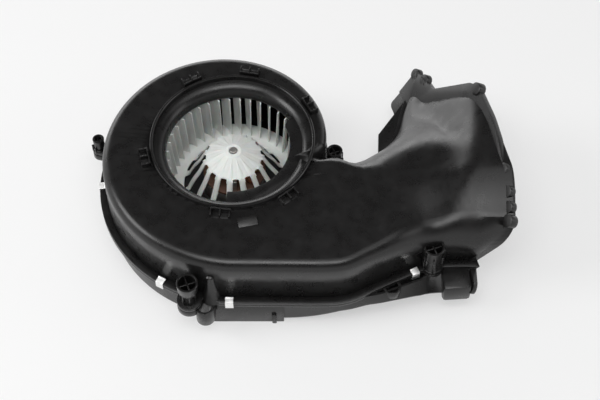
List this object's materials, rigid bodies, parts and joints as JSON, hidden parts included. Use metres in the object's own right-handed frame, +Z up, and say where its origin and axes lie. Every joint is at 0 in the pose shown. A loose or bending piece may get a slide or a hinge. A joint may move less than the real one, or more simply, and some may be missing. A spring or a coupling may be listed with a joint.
{
  "type": "car cabin blower motor",
  "caption": "Cabin blower: volute housing in two clipped shells, top inlet and side outlet duct, squirrel cage wheel on a brushed motor.",
  "frame": {"origin": "fan axis, on the plane that the housing stands on", "axes": "+Z up along the fan axis towards the inlet, +X towards the outlet, +Y towards the back of the duct"},
  "size_m": [0.4305, 0.285, 0.1288],
  "materials": {
    "black_plastic": "glossy moulded black plastic",
    "carrier_plastic": "moulded black plastic",
    "socket_plastic": "moulded dark grey plastic",
    "brush_plate_plastic": "moulded brown phenolic",
    "wheel_plastic": "off-white moulded plastic",
    "spring_steel": "bright spring steel",
    "motor_steel": "plated drawn steel",
    "bearing_steel": "ground bearing steel",
    "core_steel": "stacked lamination steel",
    "copper": "enamelled copper wire",
    "brass": "stamped brass",
    "ferrite": "sintered ferrite",
    "carbon": "pressed carbon",
    "rubber": "black moulded rubber"
  },
  "bodies": {
    "root": {"upper_shell": "black_plastic", "lower_shell": "black_plastic", "joint_clip_1": "spring_steel", "joint_clip_2": "spring_steel", "joint_clip_3": "spring_steel", "joint_clip_4": "spring_steel", "joint_clip_5": "spring_steel", "joint_clip_6": "spring_steel", "joint_clip_7": "spring_steel", "motor_carrier": "carrier_plastic", "carrier_screw_1": "motor_steel", "carrier_screw_2": "motor_steel", "carrier_screw_3": "motor_steel", "carrier_screw_4": "motor_steel", "rubber_mount_1": "rubber", "rubber_mount_2": "rubber", "rubber_mount_3": "rubber", "connector_socket": "socket_plastic", "terminal_1": "brass", "terminal_2": "brass", "terminal_3": "brass", "motor_can": "motor_steel", "magnet_1": "ferrite", "magnet_2": "ferrite", "lower_bearing": "bearing_steel", "upper_bearing": "bearing_steel", "bearing_bridge": "motor_steel", "brush_plate": "brush_plate_plastic", "brush_holder_1": "brass", "brush_holder_2": "brass", "brush_spring_1": "spring_steel", "brush_spring_2": "spring_steel", "choke_coil_1": "copper", "choke_coil_2": "copper"},
    "rotor": {"motor_shaft": "motor_steel", "armature_core": "core_steel", "armature_winding": "copper", "commutator": "copper", "fan_wheel": "wheel_plastic"},
    "brush_1": {"carbon_brush_1": "carbon"},
    "brush_2": {"carbon_brush_2": "carbon"}
  },
  "joints": [
    {"name": "rotor_spin", "type": "hinge", "parent": "root", "child": "rotor", "pos_m": [0, 0, 0], "axis": [0, 0, 1], "continuous": true},
    {"name": "brush_1_slide", "type": "slide", "parent": "root", "child": "brush_1", "axis": [1, 0, 0], "range_m": [0, 0.002], "stiffness_N_per_m": 60, "springref_m": -0.006, "deforming": ["brush_spring_1"]},
    {"name": "brush_2_slide", "type": "slide", "parent": "root", "child": "brush_2", "axis": [-1, 0, 0], "range_m": [0, 0.002], "stiffness_N_per_m": 60, "springref_m": -0.006, "deforming": ["brush_spring_2"]}
  ]
}
